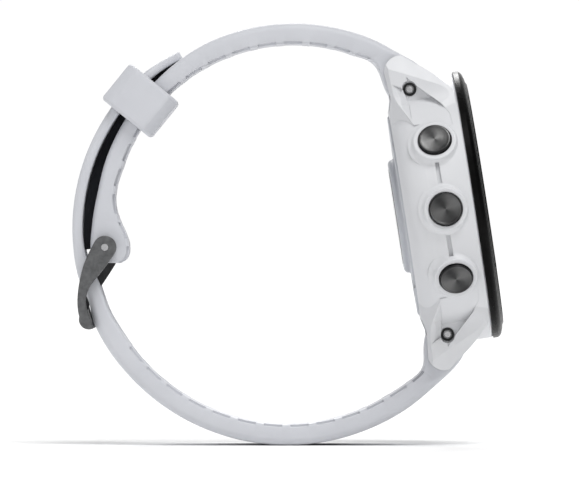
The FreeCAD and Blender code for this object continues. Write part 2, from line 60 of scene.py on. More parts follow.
def make_camera():
    data = bpy.data.cameras.new("camera")
    data.sensor_width = SENSOR_WIDTH
    data.lens = SENSOR_WIDTH * CAMERA_DISTANCE / VIEW_WIDTH
    data.clip_start = 0.01
    data.clip_end = 100
    camera = bpy.data.objects.new("camera", data)
    camera.location = AIM - Vector((0, CAMERA_DISTANCE, 0))
    camera.rotation_euler = (math.radians(90), 0, 0)
    bpy.context.scene.collection.objects.link(camera)
    bpy.context.scene.camera = camera


# ---- node materials -----------------------------------------------------------------------------
class Paint:
    """A Principled material under construction: each call adds nodes in object coordinates (metres).

    Sockets that get no texture keep the colour and roughness given here.
    """

    def __init__(self, name, colour, rough, metal=0.0, **sockets):
        self.material = bpy.data.materials.new(name)
        self.material.use_nodes = True
        self.nodes = self.material.node_tree.nodes
        self.links = self.material.node_tree.links
        self.nodes.clear()
        self.out = self.add("ShaderNodeOutputMaterial")
        self.shader = self.add("ShaderNodeBsdfPrincipled")
        self.join(self.shader.outputs["BSDF"], self.out.inputs["Surface"])
        self.shader.inputs["Base Color"].default_value = (*colour, 1)
        self.shader.inputs["Roughness"].default_value = rough
        self.shader.inputs["Metallic"].default_value = metal
        for key, value in sockets.items():
            self.shader.inputs[key.replace("_", " ")].default_value = value
        self.place = self.add("ShaderNodeTexCoord").outputs["Object"]
        self.normal = None

    def add(self, kind, **settings):
        node = self.nodes.new(kind)
        for key, value in settings.items():
            setattr(node, key, value)
        return node

    def join(self, source, target):
        self.links.new(source, target)

    def noise(self, size, detail=3.0, stretch=None, rough=0.5):
        """Noise whose features are about this many millimetres across."""
        node = self.add("ShaderNodeTexNoise")
        node.inputs["Scale"].default_value = 1 / (size * MM)
        node.inputs["Detail"].default_value = detail
        node.inputs["Roughness"].default_value = rough
        place = self.place
        if stretch:
            mapping = self.add("ShaderNodeMapping")
            mapping.inputs["Scale"].default_value = stretch
            self.join(place, mapping.inputs["Vector"])
            place = mapping.outputs["Vector"]
        self.join(place, node.inputs["Vector"])
        return node.outputs["Fac"]

    def math(self, operation, a, b=0.5):
        node = self.add("ShaderNodeMath", operation=operation)
        for value, socket in ((a, node.inputs[0]), (b, node.inputs[1])):
            if isinstance(value, (int, float)):
                socket.default_value = value
            else:
                self.join(value, socket)
        return node.outputs[0]

    def spread(self, value, low, high, start=0.3, end=0.7):
        node = self.add("ShaderNodeMapRange")
        self.join(value, node.inputs["Value"])
        for key, number in (("From Min", start), ("From Max", end), ("To Min", low), ("To Max", high)):
            node.inputs[key].default_value = number
        return node.outputs["Result"]

    def blend(self, factor, first, second):
        node = self.add("ShaderNodeMix", data_type="RGBA")
        self.join(factor, node.inputs["Factor"])
        for value, socket in ((first, node.inputs[6]), (second, node.inputs[7])):
            if isinstance(value, tuple):
                socket.default_value = (*value, 1)
            else:
                self.join(value, socket)
        return node.outputs[2]

    def colour(self, value):
        self.join(value, self.shader.inputs["Base Color"])
        return self

    def mottle(self, size, first, second, **more):
        return self.colour(self.blend(self.spread(self.noise(size, **more), 0, 1), first, second))

    def rough(self, value, low, high):
        self.join(self.spread(value, low, high), self.shader.inputs["Roughness"])
        return self

    def soften(self, radius):
        """Rounds the sharp edges of the shading by this many millimetres."""
        node = self.add("ShaderNodeBevel", samples=6)
        node.inputs["Radius"].default_value = radius * MM
        return self.onto(node.outputs["Normal"])

    def onto(self, normal):
        self.normal = normal
        self.join(normal, self.shader.inputs["Normal"])
        return self

    def bump(self, height, depth, strength=1.0):
        node = self.add("ShaderNodeBump")
        node.inputs["Strength"].default_value = strength
        node.inputs["Distance"].default_value = depth * MM
        self.join(height, node.inputs["Height"])
        if self.normal:
            self.join(self.normal, node.inputs["Normal"])
        return self.onto(node.outputs["Normal"])


def silicone():
    paint = Paint("strap_silicone", (0.57, 0.58, 0.615), 0.55, Specular_IOR_Level=0.35, Sheen_Weight=0.12,
                  Sheen_Roughness=0.4)
    paint.mottle(9.0, (0.55, 0.56, 0.595), (0.585, 0.595, 0.63))
    paint.rough(paint.noise(3.0), 0.48, 0.62)
    return paint.bump(paint.noise(0.22, detail=2.0), 0.006).material


def case_polymer():
    paint = Paint("case_polymer", (0.64, 0.647, 0.665), 0.4, Specular_IOR_Level=0.4)
    paint.mottle(12.0, (0.625, 0.632, 0.652), (0.655, 0.662, 0.68))
    paint.rough(paint.noise(2.0), 0.34, 0.46)
    paint.soften(0.22)
    return paint.bump(paint.noise(0.16, detail=2.0), 0.004).material


def rear_polymer():
    paint = Paint("rear_polymer", (0.5, 0.515, 0.55), 0.45)
    paint.mottle(6.0, (0.48, 0.495, 0.53), (0.52, 0.535, 0.57))
    paint.rough(paint.noise(2.0), 0.38, 0.52)
    paint.soften(0.15)
    return paint.bump(paint.noise(0.14, detail=2.0), 0.005).material


def bezel_metal():
    paint = Paint("bezel_metal", (0.003, 0.003, 0.003), 0.3, IOR=1.15)
    paint.mottle(1.2, (0.002, 0.002, 0.002), (0.004, 0.004, 0.004))
    paint.rough(paint.noise(0.5), 0.25, 0.36)
    return paint.bump(paint.noise(0.12, detail=2.0), 0.0015).material


def dark_metal(name, colour, rough, grain=0.25, metal=1.0):
    paint = Paint(name, colour, rough, metal)
    lighter = tuple(1.25 * c for c in colour)
    paint.mottle(0.8, tuple(0.85 * c for c in colour), lighter)
    paint.rough(paint.noise(grain), rough - 0.06, rough + 0.08)
    paint.soften(0.2)
    return paint.bump(paint.noise(grain, detail=2.0), 0.004).material


GROOVE_PITCH = 0.22                # turned grooves of a button's face
FACE_R = 2.6                       # gunmetal face, black beyond it


def button_metal():
    """Gunmetal turned on a lathe, with painted highlights in its face colour: the pieces that wear it have
    their own axis along local Z.
    """
    paint = Paint("button_metal", (0.06, 0.06, 0.062), 0.4, 0.7, Anisotropic=0.5)
    tangent = paint.add("ShaderNodeTangent", direction_type="RADIAL", axis="Z")
    paint.join(tangent.outputs["Tangent"], paint.shader.inputs["Tangent"])
    apart = paint.add("ShaderNodeSeparateXYZ")
    paint.join(paint.place, apart.inputs["Vector"])
    x, y = apart.outputs["X"], apart.outputs["Y"]
    squares = paint.math("ADD", paint.math("MULTIPLY", x, x), paint.math("MULTIPLY", y, y))
    radius = paint.math("SQRT", squares)
    ripple = paint.math("SINE", paint.math("MULTIPLY", radius, 2 * math.pi / (GROOVE_PITCH * MM)))
    scratch = paint.noise(0.5, detail=4.0)
    edge = paint.spread(radius, 0, 1, FACE_R * MM, (FACE_R + 0.08) * MM)
    # Two lighter wedges round the axis in the face colour: painted highlights standing for the glints of
    # turned metal.
    turn = paint.math("ARCTAN2", y, x)
    painted_glint_fan = paint.math("SINE", paint.math("ADD", paint.math("MULTIPLY", turn, 2.0), 0.6))
    wobble = paint.math("MULTIPLY", paint.noise(1.6, detail=2.0), 1.4)
    face = paint.blend(paint.spread(paint.math("ADD", painted_glint_fan, wobble), 0, 1, -0.5, 1.7), (0.025, 0.025, 0.026),
                       (0.13, 0.13, 0.13))
    paint.colour(paint.blend(edge, face, (0.01, 0.01, 0.011)))
    paint.rough(scratch, 0.3, 0.46)
    return paint.bump(ripple, 0.006).material


def glass(name, tint, rough=0.02):
    paint = Paint(name, tint, rough, Transmission_Weight=1.0, IOR=1.25)
    return paint.rough(paint.noise(4.0), rough, rough + 0.03).material


def sensor_glass():
    paint = Paint("sensor_glass", (0.42, 0.42, 0.45), 0.06, Transmission_Weight=0.92, IOR=1.3)
    return paint.rough(paint.noise(3.0), 0.05, 0.1).material


def plain(name, first, second, rough, size=1.0, metal=0.0, depth=0.004, soft=0.0, **sockets):
    """Two-tone mottled finish with uneven roughness and a fine grain."""
    paint = Paint(name, first, rough, metal, **sockets)
    paint.mottle(size, first, second)
    paint.rough(paint.noise(size * 0.6), rough - 0.06, rough + 0.08)
    if soft:
        paint.soften(soft)
    return paint.bump(paint.noise(size * 0.15, detail=2.0), depth).material


# ---- mesh helpers -------------------------------------------------------------------------------
def mesh_object(name, points, faces, matrix=TO_METRES, sharp=35):
    """Closed mesh from points in millimetres; edges sharper than this many degrees stay sharp."""
    mesh = bpy.data.meshes.new(name)
    mesh.from_pydata([tuple(p) for p in points], [], faces)
    mesh.validate()
    work = bmesh.new()
    work.from_mesh(mesh)
    bmesh.ops.remove_doubles(work, verts=work.verts, dist=1e-5)
    bmesh.ops.recalc_face_normals(work, faces=work.faces)
    work.to_mesh(mesh)
    work.free()
    mesh.transform(matrix)
    obj = bpy.data.objects.new(name, mesh)
    bpy.context.scene.collection.objects.link(obj)
    shade(obj, sharp)
    return obj


def shade(obj, sharp=35):
    mesh = obj.data
    mesh.shade_smooth()
    mesh.set_sharp_from_angle(angle=math.radians(sharp))


def skin(loops, capped=True):
    """Points and faces of a tube through closed loops of equal length."""
    size = len(loops[0])
    points = [p for loop in loops for p in loop]
    faces = []
    for i in range(len(loops) - 1):
        for j in range(size):
            k = (j + 1) % size
            faces.append((i * size + j, i * size + k, (i + 1) * size + k, (i + 1) * size + j))
    if capped:
        faces.append(tuple(range(size)))
        faces.append(tuple(range((len(loops) - 1) * size, len(loops) * size)))
    return points, faces


def closed_skin(loops):
    """Like skin, with the last loop joined to the first."""
    points, faces = skin(loops, capped=False)
    size = len(loops[0])
    last = (len(loops) - 1) * size
    for j in range(size):
        k = (j + 1) % size
        faces.append((last + j, last + k, k, j))
    return points, faces


def revolve(name, profile, steps=180, matrix=TO_METRES, sharp=30):
    """Turns a closed (radius, height) profile about local Z."""
    loops = []
    for i in range(steps):
        angle = 2 * math.pi * i / steps
        loops.append([(r * math.cos(angle), r * math.sin(angle), z) for r, z in profile])
    return mesh_object(name, *closed_skin(loops), matrix=matrix, sharp=sharp)


def arc(centre, radius, start, end, count):
    """Points on a circle, angles in degrees, both ends included."""
    points = []
    for i in range(count + 1):
        angle = math.radians(start + (end - start) * i / count)
        points.append((centre[0] + radius * math.cos(angle), centre[1] + radius * math.sin(angle)))
    return points


def natural_spline(keys, stations):
    """Rows of a natural cubic spline at these stations; keys is (positions, rows)."""
    places, rows = keys
    count = len(places)
    gap = np.diff(places)
    matrix = np.eye(count)
    right = np.zeros_like(rows)
    for i in range(1, count - 1):
        matrix[i, i - 1:i + 2] = (gap[i - 1], 2 * (gap[i - 1] + gap[i]), gap[i])
        right[i] = 6 * ((rows[i + 1] - rows[i]) / gap[i] - (rows[i] - rows[i - 1]) / gap[i - 1])
    bend = np.linalg.solve(matrix, right)
    result = []
    for t in stations:
        i = min(max(bisect.bisect_right(list(places), t) - 1, 0), count - 2)
        h = gap[i]
        a = (places[i + 1] - t) / h
        b = (t - places[i]) / h
        result.append(a * rows[i] + b * rows[i + 1]
                      + ((a ** 3 - a) * bend[i] + (b ** 3 - b) * bend[i + 1]) * h * h / 6)
    return np.array(result)


def lengths(points):
    """Running length along a row of points."""
    return np.concatenate([[0], np.cumsum(np.linalg.norm(np.diff(points, axis=0), axis=1))])


def cut(obj, cutters):
    """Removes the cutters' volumes from a piece."""
    for cutter in cutters:
        modifier = obj.modifiers.new("cut", "BOOLEAN")
        modifier.operation = "DIFFERENCE"
        modifier.solver = "EXACT"
        modifier.object = cutter
    bpy.context.view_layer.update()
    depsgraph = bpy.context.evaluated_depsgraph_get()
    mesh = bpy.data.meshes.new_from_object(obj.evaluated_get(depsgraph))
    obj.modifiers.clear()
    obj.data = mesh
    for cutter in cutters:
        bpy.data.objects.remove(cutter)
    shade(obj)


def dress(obj, body, slot, material, *nodes):
    """Gives a finished piece its finish, its body and the CAD nodes that it stands for."""
    obj.data.materials.clear()
    obj.data.materials.append(material)
    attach(obj, body)
    if nodes:
        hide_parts(*nodes)
    return obj


# ---- straps -------------------------------------------------------------------------------------
BAND_HALF = 11.0
STRAP_THICK = 3.5
UPPER_CENTRE = (6.9, 2.4)
UPPER_INNER_R = 31.2
LOWER_CENTRE = (5.75, 1.5)
LOWER_MID_R = 35.25
TAIL_CENTRE = (4.72, 1.72)
TAIL_INNER_R = 34.19
TIP_ANGLE = 120
POCKET_PITCH = 4.75
POCKET_LENGTH = 3.3
POCKET_DEPTH = 0.42
POCKET_SIDE = 8.0                  # pockets run from here to the strap's side
OUTER_ROUND = 1.25
INNER_ROUND = 0.5
RIB_STEP = 0.45
TIP_LENGTH = 10.9                  # rounded end of the tail
HOLE_LENGTH = 5.6
HOLE_WIDTH = 3.0
HOLE_PITCH = 7.5
BAR_N = 4.4                        # spring bar axis in the case frame
BAR_U = 21.3
BUCKLE_PIN = (-25.6, -1.45)


def polar(centre, radius, degrees):
    angle = math.radians(degrees)
    return (centre[0] + radius * math.cos(angle), centre[1] + radius * math.sin(angle))


def smooth(value, low, high):
    t = min(1.0, max(0.0, (value - low) / (high - low)))
    return t * t * (3 - 2 * t)


def case_point(n, u):
    """Row x and z of a point given in the case frame."""
    point = CASE_FRAME @ Vector((n, 0, u))
    return (point.x, point.z)


def root_ribs(up):
    """Outer and inner points of a strap's lug end, which wraps round the spring bar."""
    pairs = [((4.6, 18.6), (4.2, 18.6)), ((6.2, 19.3), (2.6, 19.2)), ((7.0, 20.9), (1.3, 20.2)),
             ((7.06, 22.0), (0.5, 22.0)), ((6.9, 24.6), (0.0, 24.5))]
    return [case_point(o[0], up * o[1]) + case_point(i[0], up * i[1]) for o, i in pairs]


def upper_ribs():
    ribs = root_ribs(1)
    for outer, inner in ((57, 64), (65.5, 69.5), (74, 75.5), (82, 82.5)):
        ribs.append(polar(UPPER_CENTRE, UPPER_INNER_R + STRAP_THICK, outer)
                    + polar(UPPER_CENTRE, UPPER_INNER_R, inner))
    for angle in range(91, 172, 8):
        outer = UPPER_INNER_R + STRAP_THICK - 0.45 * smooth(angle, 112, 142)
        ribs.append(polar(UPPER_CENTRE, outer, angle) + polar(UPPER_CENTRE, UPPER_INNER_R, angle))
    ribs += [(-27.55, 4.65, -23.35, 3.75), (-27.9, 1.9, -22.2, 1.2), (-28.12, -0.9, -21.6, -0.7),
             (-28.0, -2.4, -21.5, -2.2), (-27.45, -3.45, -22.0, -3.45), (-26.2, -4.15, -23.1, -4.15)]
    return np.array(ribs)


def lower_stations():
    """Centreline points and thicknesses of the lower strap past its root."""
    stations = [polar(LOWER_CENTRE, LOWER_MID_R, -34.3 - 10.5 * i) + (STRAP_THICK,) for i in range(2, 12)]
    stations += [(-26.4, -12.8, 3.05), (-27.05, -10.6, 2.7), (-27.6, -9.1, 2.8), (-28.3, -7.6, 2.9),
                 (-29.0, -6.1, 2.6), (-29.6, -4.3, 2.2), (-30.02, -2.3, 1.9)]
    for angle in (181, 172, 163, 154, 146, 139, 132, 127, 123, TIP_ANGLE):
        thick = 1.35 + 0.4 * smooth(angle, TIP_ANGLE, 140)
        inner = TAIL_INNER_R - 0.15 + 0.15 * smooth(angle, TIP_ANGLE, 132)
        stations.append(polar(TAIL_CENTRE, inner + thick / 2, angle) + (thick,))
    return np.array(stations)


def lower_ribs():
    stations = lower_stations()
    places = lengths(stations[:, :2])
    nudge = 0.05
    before = natural_spline((places, stations), places - nudge)
    after = natural_spline((places, stations), places + nudge)
    ribs = root_ribs(-1)
    ribs.append(polar(LOWER_CENTRE, LOWER_MID_R + STRAP_THICK / 2, -44.8) + case_point(-0.95, -27.0))
    for row, a, b in zip(stations, before, after):
        tangent = (b - a)[:2]
        tangent /= np.linalg.norm(tangent)
        normal = np.array((tangent[1], -tangent[0]))
        if normal @ (row[:2] - np.array(LOWER_CENTRE)) < 0:
            normal = -normal
        half = row[2] / 2
        ribs.append(tuple(row[:2] + half * normal) + tuple(row[:2] - half * normal))
    return np.array(ribs)


def section(half, thick, outer_round, pocket):
    """Loop across a strap: (y, height above the inner face)."""
    outer_round = min(outer_round, 0.48 * thick)
    inner_round = min(INNER_ROUND, 0.4 * thick)
    side = min(POCKET_SIDE, 0.72 * half)
    floor = POCKET_DEPTH if pocket else 0.0
    right = [(0.0, 0.0), (side * 0.5, 0.0), (side - 0.05, 0.0), (side, floor)]
    for y, z in arc((half - inner_round, inner_round), inner_round, -90, 0, 4):
        right.append((y, max(z, floor)))
    right += arc((half - outer_round, thick - outer_round), outer_round, 0, 90, 7)
    right += [(side * 0.5, thick), (0.0, thick)]
    left = [(-y, z) for y, z in reversed(right[1:-1])]
    return right + left


def strap(name, ribs, pockets, tip=0.0):
    """Sweeps the section along ribs (outer x, z, inner x, z); tip is the length of a rounded end."""
    outer_path = lengths(ribs[:, :2])
    inner_path = lengths(ribs[:, 2:])
    places = (outer_path + inner_path) / 2
    total = places[-1]
    stations = list(np.arange(0, total - tip, RIB_STEP))
    if tip:
        stations += [total - tip * (1 - math.sin(math.radians(a))) for a in range(0, 85, 4)]
    stations.append(total)
    edge = 0.03
    for start, end in pockets:
        near = [t for t in stations if min(abs(t - start), abs(t - end)) > 0.12]
        stations = sorted(near + [start - edge, start + edge, end - edge, end + edge])
    rows = natural_spline((places, ribs), stations)
    loops = []
    for t, row in zip(stations, rows):
        outer = Vector((row[0], 0, row[1]))
        inner = Vector((row[2], 0, row[3]))
        across = outer - inner
        half = BAND_HALF
        if tip and t > total - tip:
            reach = (t - total + tip) / (tip + 0.06)
            half = BAND_HALF * math.sqrt(1 - reach * reach)
        pocket = any(start < t < end for start, end in pockets)
        loop = []
        for y, height in section(half, across.length, OUTER_ROUND, pocket):
            point = inner + across.normalized() * height
            loop.append((point.x, y, point.z))
        loops.append(loop)
    return mesh_object(name, *skin(loops))


def pocket_rows(first, last):
    count = int((last - first) / POCKET_PITCH)
    return [(first + i * POCKET_PITCH, first + i * POCKET_PITCH + POCKET_LENGTH) for i in range(count)]


def slot_cutter(centre, normal, length=HOLE_LENGTH, width=HOLE_WIDTH, depth=8.0):
    """Rounded slot whose length runs along the strap and whose axis is the normal."""
    radius = width / 2
    half = length / 2 - radius
    outline = arc((half, 0), radius, -90, 90, 16) + arc((-half, 0), radius, 90, 270, 16)
    loops = [[(x, y, z) for x, y in outline] for z in (-depth / 2, depth / 2)]
    turn = Matrix.Rotation(math.atan2(normal[0], normal[1]), 4, "Y")
    place = Matrix.Translation((centre[0], 0, centre[1]))
    return mesh_object("cutter", *skin(loops), matrix=TO_METRES @ place @ turn)


def box_cutter(low, high, matrix=TO_METRES):
    loops = []
    for z in (low[2], high[2]):
        corners = ((low[0], low[1]), (high[0], low[1]), (high[0], high[1]), (low[0], high[1]))
        loops.append([(x, y, z) for x, y in corners])
    return mesh_object("cutter", *skin(loops), matrix=matrix)


def rod_cutter(radius, x, z, half, matrix=TO_METRES):
    loops = [[(px, y, pz) for px, pz in arc((x, z), radius, 0, 352.5, 47)] for y in (-half, half)]
    return mesh_object("cutter", *skin(loops), matrix=matrix)


def bar_cutters(up):
    """Spring-bar hole and the recess of its release knob."""
    frame_matrix = TO_METRES @ CASE_FRAME
    low, high = sorted((up * 20.3, up * 22.3))
    return [rod_cutter(0.95, BAR_N, up * BAR_U, 12, frame_matrix),
            box_cutter((-2, -10.1, low), (1.6, -6.4, high), frame_matrix),
            box_cutter((-2, -9.65, low + 0.4), (BAR_N, -6.85, high - 0.4), frame_matrix)]


def hole_places():
    places = [((-27.95, -8.4), (-0.92, -0.39))]
    step = math.degrees(HOLE_PITCH / TAIL_INNER_R)
    for i in range(4):
        angle = 178 - step * i
        places.append((polar(TAIL_CENTRE, TAIL_INNER_R + 1, angle), polar((0, 0), 1, angle)))
    step = math.degrees(HOLE_PITCH / LOWER_MID_R)
    for i in range(3):
        angle = 208 + step * i
        places.append((polar(LOWER_CENTRE, LOWER_MID_R, angle), polar((0, 0), 1, angle)))
    return places


def make_straps(material):
    upper = strap("upper_strap_skin", upper_ribs(), pocket_rows(12.0, 88.0))
    cut(upper, bar_cutters(1) + [rod_cutter(0.65, *BUCKLE_PIN, 12),
                                 box_cutter((-30, -1.3, -6), (-20, 1.3, 0.4))])
    dress(upper, "upper_strap", "strap_silicone", material, "upper_strap")
    lower = strap("lower_strap_skin", lower_ribs(), pocket_rows(12.0, 78.0), tip=TIP_LENGTH)
    cut(lower, bar_cutters(-1) + [slot_cutter(*place) for place in hole_places()])
    dress(lower, "lower_strap", "strap_silicone", material, "lower_strap")


GAP_RIB_START = 124                # degrees round the tail's arc
GAP_RIB_STEPS = 125                # half a degree each
GAP_RIB_Y = 5.0
GAP_RIB_HALF = 0.5                 # half its thickness
GAP_RIB_DEPTH = 2.0
GAP_RIB_CLEAR = 0.1                # short of the tail's inner face


def make_gap_shade_ribs(material):
    """Two thin ribs on the upper strap that fill most of the gap under the tail; they are near black and
    are painted shade for the shadow deep in that gap.
    """
    for side, y in (("near", -GAP_RIB_Y), ("far", GAP_RIB_Y)):
        near, far = y - GAP_RIB_HALF, y + GAP_RIB_HALF
        loops = []
        for i in range(GAP_RIB_STEPS):
            angle = GAP_RIB_START + 0.5 * i
            outer = TAIL_INNER_R - 0.15 - GAP_RIB_CLEAR + 0.15 * smooth(angle, TIP_ANGLE, 132)
            inner = outer - GAP_RIB_DEPTH
            corners = [(inner, near), (outer, near), (outer, far), (inner, far)]
            loop = []
            for radius, across in corners:
                x, z = polar(TAIL_CENTRE, radius, angle)
                loop.append((x, across, z))
            loops.append(loop)
        rib = mesh_object("gap_shade_rib_" + side, *skin(loops))
        dress(rib, "upper_strap", "strap_silicone", material)


def rounded_rectangle(x0, x1, y0, y1, radius, flat=0.0, steps=10, sides=14):
    """Outline with corners from round (flat 0) to straight chamfers (flat 1) and divided sides."""
    corners = [((x1 - radius, y1 - radius), 0), ((x0 + radius, y1 - radius), 90),
               ((x0 + radius, y0 + radius), 180), ((x1 - radius, y0 + radius), 270)]
    points = []
    for i, (centre, start) in enumerate(corners):
        bend = arc(centre, radius, start, start + 90, steps)
        for k in range(1, steps):
            chord = [bend[0][m] + (bend[-1][m] - bend[0][m]) * k / steps for m in (0, 1)]
            bend[k] = tuple(bend[k][m] + (chord[m] - bend[k][m]) * flat for m in (0, 1))
        following = corners[(i + 1) % 4]
        target = arc(following[0], radius, following[1], following[1], 1)[0]
        points += bend
        last = bend[-1]
        for k in range(1, sides):
            points.append(tuple(last[m] + (target[m] - last[m]) * k / sides for m in (0, 1)))
    return points


KEEPER_ANGLE = 141.0
KEEPER_HALF = 3.95                 # half its length along the strap
KEEPER_EDGE = 0.7                  # round of the outer edges
KEEPER_LIP = 0.3                   # round of the window's edges


def make_keeper(material):
    half = KEEPER_HALF
    outer = rounded_rectangle(28.7, 39.4, -12.9, 12.9, 1.8, flat=0.75)
    inner = rounded_rectangle(30.65, 38.15, -11.3, 11.3, 0.5)
    loops = []
    for out, inn in zip(outer, inner):
        wall = math.dist(out, inn)
        edge = KEEPER_EDGE / wall
        lip = KEEPER_LIP / wall
        ring = []
        for f, z in arc((edge, half - KEEPER_EDGE), 1.0, 180, 90, 6):
            rise = z - half + KEEPER_EDGE
            ring.append((edge * (f - edge + 1), half - KEEPER_EDGE + KEEPER_EDGE * rise))
        for k in range(1, 4):
            a = math.radians(90 - 30 * k)
            ring.append((1 - lip + lip * math.cos(a), half - KEEPER_LIP + KEEPER_LIP * math.sin(a)))
        ring += [(f, -z) for f, z in reversed(ring)]
        loops.append([(out[0] + (inn[0] - out[0]) * f, out[1] + (inn[1] - out[1]) * f, z) for f, z in ring])
    turn = Matrix.Rotation(-math.radians(KEEPER_ANGLE), 4, "Y")
    place = Matrix.Translation((UPPER_CENTRE[0], 0, UPPER_CENTRE[1]))
    keeper = mesh_object("keeper_loop", *closed_skin(loops), matrix=TO_METRES @ place @ turn)
    dress(keeper, "keeper", "strap_silicone", material, "keeper")


# ---- case pieces --------------------------------------------------------------------------------
BUTTONS = {"light": (-1, 30), "up": (-1, 0), "down": (-1, -30), "start": (1, 30), "lap": (1, -30)}
BUTTON_N = 7.2


def make_buttons(material):
    """Caps turned about their own axes: stem with its grooves, skirt, rounded rim and dished face."""
    profile = [(0, 19.75), (1.0, 19.75), (1.0, 20.1), (0.72, 20.1), (0.72, 20.42), (1.0, 20.42),
               (1.0, 20.92), (0.53, 20.92), (0.53, 21.48), (1.0, 21.48), (1.0, 22.9), (1.25, 22.9),
               (1.25, 23.75), (2.3, 23.75), (2.3, 22.9), (2.75, 22.9), (2.8, 22.95)]
    profile += arc((2.5, 24.2), 0.3, 0, 90, 6)
    profile += [(2.42, 24.5), (2.38, 24.48), (2.34, 24.43), (2.28, 24.41), (1.2, 24.37), (0, 24.36)]
    for name, (side, rise) in BUTTONS.items():
        turn = Matrix.Rotation(-side * math.radians(90 - rise), 4, "X")
        place = CASE_FRAME @ Matrix.Translation((BUTTON_N, 0, 0)) @ turn
        cap = revolve(name + "_button_turned", profile, steps=96)
        cap.matrix_world = Matrix.Translation((TO_METRES @ place).translation) @ place.to_3x3().to_4x4()
        dress(cap, name + "_button", "button_metal", material, name + "_button_cap")


DIAL_FLOOR = 12.905                # just above the display, along the case normal
DIAL_THICK = 0.04
TICK_R = 18.05                     # middle of the minute ticks
HOUR_R = 17.6
TIME_SIZE = 7.6                    # height of the large figures
SMALL_SIZE = 2.2
BAND_INNER = 14.6                  # progress arc
BAND_OUTER = 15.5
HOLE_SHADE_R = 1.13                # dark sleeves painted as shade in the spring-bar holes of the lugs
SEGMENTS = {"0": "abcdef", "1": "bc", "2": "abged", "5": "afgcd", "8": "abcdefg"}


def dial_points(outline):
    """A dial outline (across, up) as the two loops of a thin slab; across runs to the reader's right."""
    return [[(n, x, y) for x, y in outline] for n in (DIAL_FLOOR, DIAL_FLOOR + DIAL_THICK)]


def gather(parts):
    """Points and faces of several skins as one."""
    points, faces = [], []
    for more_points, more_faces in parts:
        start = len(points)
        points += more_points
        faces += [tuple(start + i for i in face) for face in more_faces]
    return points, faces


def turned_outline(outline, degrees, reach=0.0):
    """Outline drawn about the origin, moved out along +Y and turned clockwise."""
    angle = math.radians(degrees)
    c, s = math.cos(angle), math.sin(angle)
    return [(x * c + (y + reach) * s, -x * s + (y + reach) * c) for x, y in outline]


def bar_outline(width, height):
    w, h = width / 2, height / 2
    return [(-w, -h), (w, -h), (w, h), (-w, h)]


def segment_outline(length, width, upright):
    """Six-sided bar of a seven-segment figure."""
    h, w = length / 2, width / 2
    points = [(-h, 0), (-h + w, -w), (h - w, -w), (h, 0), (h - w, w), (-h + w, w)]
    return [(y, x) for x, y in reversed(points)] if upright else points


def figure(char, x, y, size):
    """One seven-segment figure centred at (x, y), size high."""
    span = size / 2
    width = 0.17 * size
    places = {"a": (0, span, False), "g": (0, 0, False), "d": (0, -span, False),
              "f": (-span / 2, span / 2, True), "b": (span / 2, span / 2, True),
              "e": (-span / 2, -span / 2, True), "c": (span / 2, -span / 2, True)}
    result = []
    for key in SEGMENTS[char]:
        dx, dy, upright = places[key]
        length = span - 0.06 * size
        outline = segment_outline(length, width, upright)
        result.append(skin(dial_points([(x + dx + px, y + dy + py) for px, py in outline])))
    return result


def arc_band(inner, outer, start, end, count=48):
    """Flat band between two radii, clock angles in degrees."""
    outline = []
    for radius, order in ((inner, range(count + 1)), (outer, range(count, -1, -1))):
        for i in order:
            angle = math.radians(start + (end - start) * i / count)
            outline.append((radius * math.sin(angle), radius * math.cos(angle)))
    low, high = dial_points(outline)
    size = len(low)
    faces = [(j, (j + 1) % size, size + (j + 1) % size, size + j) for j in range(size)]
    for j in range(count):
        k = 2 * count + 1 - j
        faces += [(j, j + 1, k - 1, k), (size + j, size + j + 1, size + k - 1, size + k)]
    return low + high, faces


def make_dial():
    """Generic digital face: minute ticks, the time, a small line of figures and a progress arc."""
    matrix = TO_METRES @ CASE_FRAME
    # The white and blue marks also glow by emission: a painted glow, as the display is no lamp.
    white = plain("dial_white_painted_glow", (0.72, 0.74, 0.76), (0.8, 0.82, 0.84), 0.5, size=3, depth=0.001,
                  Emission_Color=(0.8, 0.83, 0.86, 1), Emission_Strength=0.25)
    blue = plain("dial_blue_painted_glow", (0.03, 0.3, 0.62), (0.04, 0.36, 0.7), 0.5, size=3, depth=0.001,
                 Emission_Color=(0.03, 0.3, 0.65, 1), Emission_Strength=0.3)
    grey = plain("dial_grey", (0.05, 0.055, 0.06), (0.07, 0.075, 0.08), 0.5, size=3, depth=0.001)
    ticks = []
    for minute in range(60):
        hour = minute % 5 == 0
        outline = bar_outline(0.55, 1.9) if hour else bar_outline(0.22, 1.0)
        ticks.append(skin(dial_points(turned_outline(outline, 6 * minute, HOUR_R if hour else TICK_R))))
    figures = []
    for char, x in (("1", -9.6), ("0", -3.6), ("2", 3.6), ("8", 9.2)):
        figures += figure(char, x, 1.0, TIME_SIZE)
    for y in (2.6, -0.6):
        figures.append(skin(dial_points([(px, y + py) for px, py in bar_outline(0.9, 0.9)])))
    for i, char in enumerate("1850"):
        figures += figure(char, -2.7 + 1.8 * i, -9.0, SMALL_SIZE)
    parts = [("dial_ticks", gather(ticks), white), ("dial_time", gather(figures), white),
             ("dial_progress", arc_band(BAND_INNER, BAND_OUTER, -130, 55), blue),
             ("dial_track", arc_band(BAND_INNER, BAND_OUTER, 57, 130), grey)]
    for name, shape, material in parts:
        piece = mesh_object(name, *shape, matrix=matrix)
        dress(piece, "case", "display", material)


